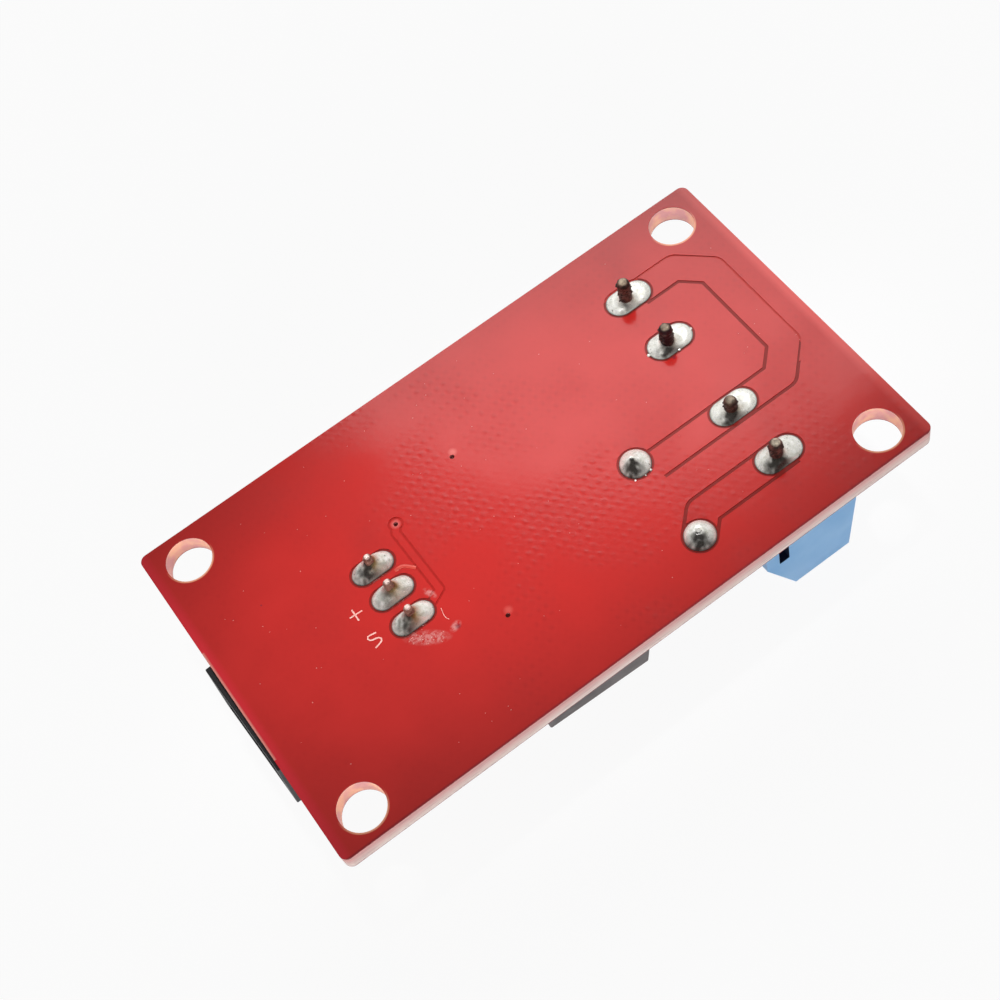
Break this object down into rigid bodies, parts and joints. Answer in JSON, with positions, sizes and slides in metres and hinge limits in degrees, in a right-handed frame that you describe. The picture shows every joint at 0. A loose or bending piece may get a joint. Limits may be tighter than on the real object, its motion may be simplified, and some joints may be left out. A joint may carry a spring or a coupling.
{
  "type": "mosfet switch module",
  "caption": "Red circuit board that switches a load through a power transistor, with screw terminals at one end, a pin connector at the other and mounting holes in its corners.",
  "frame": {"origin": "middle of the mounting-hole pattern, on the solder face", "axes": "+X towards the screw terminals, +Y across the board, +Z out of the solder face"},
  "size_m": [0.0509, 0.0286, 0.0173],
  "materials": {
    "solder_mask": "gloss solder mask",
    "terminal_plastic": "satin moulded",
    "contact_metal": "tinned",
    "clamp_steel": "zinc plated",
    "screw_steel": "zinc plated",
    "connector_plastic": "moulded",
    "pin_metal": "tinned",
    "lead_metal": "tinned",
    "transistor_epoxy": "moulded",
    "diode_epoxy": "moulded",
    "optocoupler_epoxy": "moulded",
    "resistor_ceramic": "glazed",
    "lamp_plastic": "moulded",
    "lens_plastic": "clear moulded",
    "solder": "bright"
  },
  "bodies": {
    "module": {"circuit_board": "solder_mask", "terminal_housing_1": "terminal_plastic", "terminal_housing_2": "terminal_plastic", "contact_1": "contact_metal", "contact_2": "contact_metal", "contact_3": "contact_metal", "contact_4": "contact_metal", "connector_housing": "connector_plastic", "connector_pin_1": "pin_metal", "connector_pin_2": "pin_metal", "connector_pin_3": "pin_metal", "transistor_body": "transistor_epoxy", "transistor_tab": "lead_metal", "transistor_gate_lead": "lead_metal", "transistor_source_lead": "lead_metal", "diode_body": "diode_epoxy", "diode_lead_1": "lead_metal", "diode_lead_2": "lead_metal", "optocoupler_body": "optocoupler_epoxy", "optocoupler_lead_1": "lead_metal", "optocoupler_lead_2": "lead_metal", "optocoupler_lead_3": "lead_metal", "optocoupler_lead_4": "lead_metal", "resistor_1": "resistor_ceramic", "resistor_2": "resistor_ceramic", "resistor_3": "resistor_ceramic", "lamp_base": "lamp_plastic", "lamp_lens": "lens_plastic", "terminal_solder_1": "solder", "terminal_solder_2": "solder", "terminal_solder_3": "solder", "terminal_solder_4": "solder", "connector_solder_1": "solder", "connector_solder_2": "solder", "connector_solder_3": "solder", "diode_solder_1": "solder", "diode_solder_2": "solder"},
    "screw_1": {"clamp_screw_1": "screw_steel"},
    "cage_1": {"clamp_cage_1": "clamp_steel"},
    "screw_2": {"clamp_screw_2": "screw_steel"},
    "cage_2": {"clamp_cage_2": "clamp_steel"},
    "screw_3": {"clamp_screw_3": "screw_steel"},
    "cage_3": {"clamp_cage_3": "clamp_steel"},
    "screw_4": {"clamp_screw_4": "screw_steel"},
    "cage_4": {"clamp_cage_4": "clamp_steel"}
  },
  "joints": [
    {"name": "screw_1_turn", "type": "hinge", "parent": "module", "child": "screw_1", "pos_m": [0.01685, 0.00869, -0.0116], "axis": [0, 0, 1], "range_deg": [0, 1584]},
    {"name": "cage_1_lift", "type": "slide", "parent": "module", "child": "cage_1", "axis": [0, 0, -1], "range_m": [0, 0.0022]},
    {"name": "screw_2_turn", "type": "hinge", "parent": "module", "child": "screw_2", "pos_m": [0.01685, 0.00361, -0.0116], "axis": [0, 0, 1], "range_deg": [0, 1584]},
    {"name": "cage_2_lift", "type": "slide", "parent": "module", "child": "cage_2", "axis": [0, 0, -1], "range_m": [0, 0.0022]},
    {"name": "screw_3_turn", "type": "hinge", "parent": "module", "child": "screw_3", "pos_m": [0.01685, -0.00381, -0.0116], "axis": [0, 0, 1], "range_deg": [0, 1584]},
    {"name": "cage_3_lift", "type": "slide", "parent": "module", "child": "cage_3", "axis": [0, 0, -1], "range_m": [0, 0.0022]},
    {"name": "screw_4_turn", "type": "hinge", "parent": "module", "child": "screw_4", "pos_m": [0.01685, -0.00889, -0.0116], "axis": [0, 0, 1], "range_deg": [0, 1584]},
    {"name": "cage_4_lift", "type": "slide", "parent": "module", "child": "cage_4", "axis": [0, 0, -1], "range_m": [0, 0.0022]}
  ],
  "couplings": [
    {"joint": "screw_1_turn", "follows": "cage_1_lift", "rad_per_m": 12566},
    {"joint": "screw_2_turn", "follows": "cage_2_lift", "rad_per_m": 12566},
    {"joint": "screw_3_turn", "follows": "cage_3_lift", "rad_per_m": 12566},
    {"joint": "screw_4_turn", "follows": "cage_4_lift", "rad_per_m": 12566}
  ]
}
